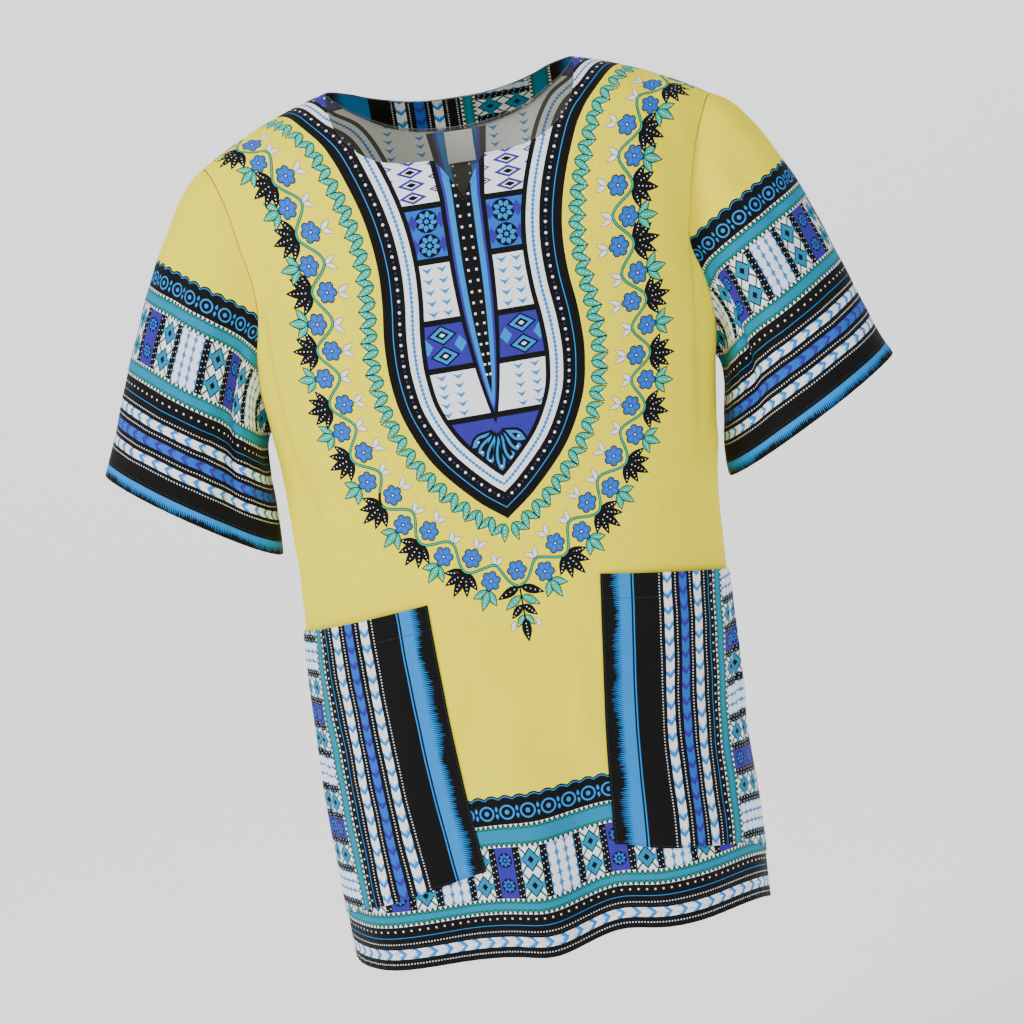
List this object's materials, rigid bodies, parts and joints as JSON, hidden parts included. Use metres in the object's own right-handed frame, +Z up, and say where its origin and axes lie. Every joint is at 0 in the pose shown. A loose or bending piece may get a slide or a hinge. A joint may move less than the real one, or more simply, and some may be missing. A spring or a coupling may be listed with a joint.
{
  "type": "dashiki shirt",
  "caption": "Loose collarless dashiki shirt with a notched neck, short wide sleeves and slanted front patch pockets, held in its worn hollow shape.",
  "frame": {"origin": "midway between the two shoulder seams, where the shirt hangs from its wearer", "axes": "+Z up, the front faces -Y, the wearer's left is +X"},
  "size_m": [0.7001, 0.2554, 0.7678],
  "materials": {
    "printed_cotton": "plain-weave printed cotton with a soft low sheen",
    "border_cotton": "the same cotton, cut from its dark printed border",
    "woven_label": "plain white woven tape"
  },
  "bodies": {
    "root": {"front_panel": "printed_cotton", "back_panel": "printed_cotton", "sleeve_right": "printed_cotton", "sleeve_left": "printed_cotton", "pocket_right": "border_cotton", "pocket_left": "border_cotton", "neck_facing": "border_cotton", "neck_label": "woven_label"}
  },
  "joints": []
}
